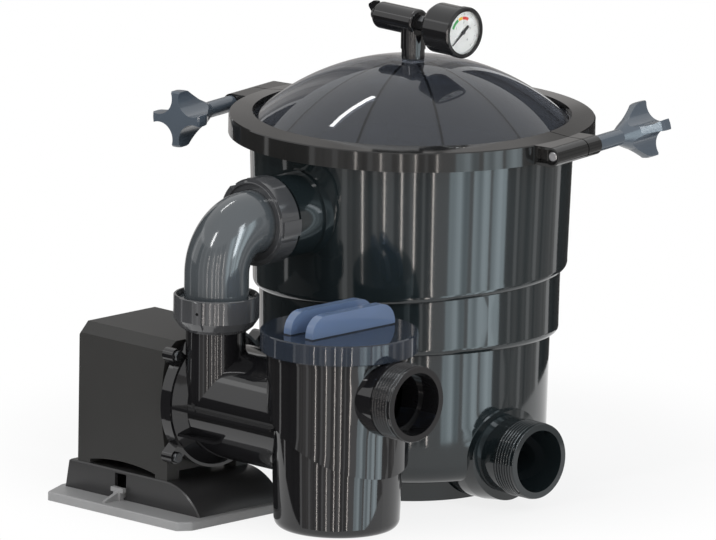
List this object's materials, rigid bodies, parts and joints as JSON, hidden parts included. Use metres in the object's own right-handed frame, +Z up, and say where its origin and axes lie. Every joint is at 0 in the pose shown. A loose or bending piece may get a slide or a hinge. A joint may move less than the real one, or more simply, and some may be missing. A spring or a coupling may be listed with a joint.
{
  "type": "pool filter unit",
  "caption": "Pool cartridge filter unit: stepped tank with clear clamped lid and gauge tee, joined by a union elbow to a strainer pump on a base plate",
  "frame": {"origin": "centre of the tank's underside, on the surface the unit stands on", "axes": "+Z up along the tank axis, +X towards the outlet, the suction port and the gauge face, -Y towards the pump"},
  "size_m": [0.4651, 0.5187, 0.495],
  "materials": {
    "moulded_dark": "satin",
    "moulded_gloss": "glossy",
    "clamp_plastic": "satin",
    "knob_plastic": "satin",
    "smoke_clear": "glossy",
    "clear_lens": "glossy",
    "cover_plastic": "matte",
    "foot_plastic": "matte",
    "plate_plastic": "matte",
    "seal_rubber": "matte",
    "filter_cloth": "matte",
    "cap_plastic": "satin",
    "core_plastic": "satin",
    "stainless": "brushed",
    "brass": "satin",
    "dial_white": "matte",
    "pointer_black": "satin",
    "gauge_black": "satin",
    "ceramic": "satin",
    "laminations": "satin",
    "copper": "satin",
    "motor_alloy": "satin",
    "basket_plastic": "satin"
  },
  "bodies": {
    "unit": {"tank_body": "moulded_dark", "tank_lid": "smoke_clear", "lid_o_ring": "seal_rubber", "filter_media": "filter_cloth", "cartridge_core": "core_plastic", "cartridge_cap_top": "cap_plastic", "cartridge_cap_bottom": "cap_plastic", "outlet_manifold": "core_plastic", "manifold_seal": "seal_rubber", "tee_body": "moulded_dark", "tee_locknut": "moulded_dark", "tee_seal": "seal_rubber", "bleed_seal": "seal_rubber", "gauge_case": "gauge_black", "gauge_bezel": "gauge_black", "gauge_lens": "clear_lens", "gauge_dial": "dial_white", "gauge_movement": "brass", "gauge_socket": "brass", "bourdon_tube": "brass", "union_tail_upper": "moulded_gloss", "union_seals": "seal_rubber", "elbow": "moulded_gloss", "discharge_collar": "moulded_gloss", "union_tail_lower": "moulded_dark", "pump_body": "moulded_dark", "strainer_basket": "basket_plastic", "seal_plate": "moulded_dark", "plate_seal": "seal_rubber", "wet_end_bolts": "stainless", "seal_seat": "ceramic", "stator_core": "laminations", "stator_windings": "copper", "bearings": "stainless", "motor_housing": "motor_alloy", "motor_cover": "cover_plastic", "pump_foot": "foot_plastic", "base_plate": "plate_plastic", "hold_down_clips": "plate_plastic", "fixing_screws": "stainless"},
    "clamp_front": {"clamp_half_front": "clamp_plastic", "clamp_bolt_right": "stainless"},
    "clamp_rear": {"clamp_half_rear": "clamp_plastic", "clamp_bolt_left": "stainless"},
    "knob_right": {"clamp_knob_right": "knob_plastic", "knob_insert_right": "brass"},
    "knob_left": {"clamp_knob_left": "knob_plastic", "knob_insert_left": "brass"},
    "nut_upper": {"union_nut_upper": "moulded_dark"},
    "nut_lower": {"union_nut_lower": "moulded_dark"},
    "air_bleed": {"bleed_screw": "gauge_black"},
    "pointer": {"gauge_pointer": "pointer_black"},
    "lid_seal": {"strainer_seal": "seal_rubber"},
    "pot_lid": {"strainer_lid": "smoke_clear"},
    "pot_drain": {"drain_plug": "moulded_dark"},
    "rotor": {"motor_shaft": "stainless", "motor_rotor": "laminations", "impeller": "core_plastic", "seal_head": "seal_rubber", "cooling_fan": "gauge_black"}
  },
  "joints": [
    {"name": "clamp_front_slide", "type": "slide", "parent": "unit", "child": "clamp_front", "axis": [0.1788, -0.9839, 0], "range_m": [0, 0.01]},
    {"name": "clamp_rear_slide", "type": "slide", "parent": "unit", "child": "clamp_rear", "axis": [-0.1788, 0.9839, 0], "range_m": [0, 0.01]},
    {"name": "knob_right_turn", "type": "hinge", "parent": "clamp_rear", "child": "knob_right", "pos_m": [0.18021, 0.11406, 0.36445], "axis": [-0.1788, 0.9839, 0], "continuous": true},
    {"name": "knob_left_turn", "type": "hinge", "parent": "clamp_front", "child": "knob_left", "pos_m": [-0.18021, -0.11406, 0.36445], "axis": [0.1788, -0.9839, 0], "continuous": true},
    {"name": "upper_nut_turn", "type": "hinge", "parent": "unit", "child": "nut_upper", "pos_m": [0, -0.212, 0.297], "axis": [0, -1, 0], "continuous": true},
    {"name": "lower_nut_turn", "type": "hinge", "parent": "unit", "child": "nut_lower", "pos_m": [0, -0.274, 0.214], "axis": [0, 0, 1], "continuous": true},
    {"name": "air_bleed_turn", "type": "hinge", "parent": "unit", "child": "air_bleed", "pos_m": [-0.05, 0, 0.46896], "axis": [-1, 0, 0], "range_deg": [0, 540]},
    {"name": "pointer_sweep", "type": "hinge", "parent": "unit", "child": "pointer", "pos_m": [0.0693, 0, 0.46896], "axis": [-1, 0, 0], "range_deg": [0, 270]},
    {"name": "pot_lid_lift", "type": "slide", "parent": "unit", "child": "lid_seal", "axis": [0, 0, 1], "range_m": [0, 0.004]},
    {"name": "pot_lid_turn", "type": "hinge", "parent": "lid_seal", "child": "pot_lid", "pos_m": [0.1445, -0.246, 0.2104], "axis": [0, 0, 1], "range_deg": [0, 90]},
    {"name": "pot_drain_turn", "type": "hinge", "parent": "unit", "child": "pot_drain", "pos_m": [0.1445, -0.177, 0.036], "axis": [0, 1, 0], "range_deg": [0, 720]},
    {"name": "rotor_spin", "type": "hinge", "parent": "unit", "child": "rotor", "pos_m": [-0.092, -0.246, 0.118], "axis": [1, 0, 0], "continuous": true}
  ],
  "couplings": [
    {"joint": "pot_lid_lift", "follows": "pot_lid_turn", "m_per_rad": 0.0025439}
  ]
}
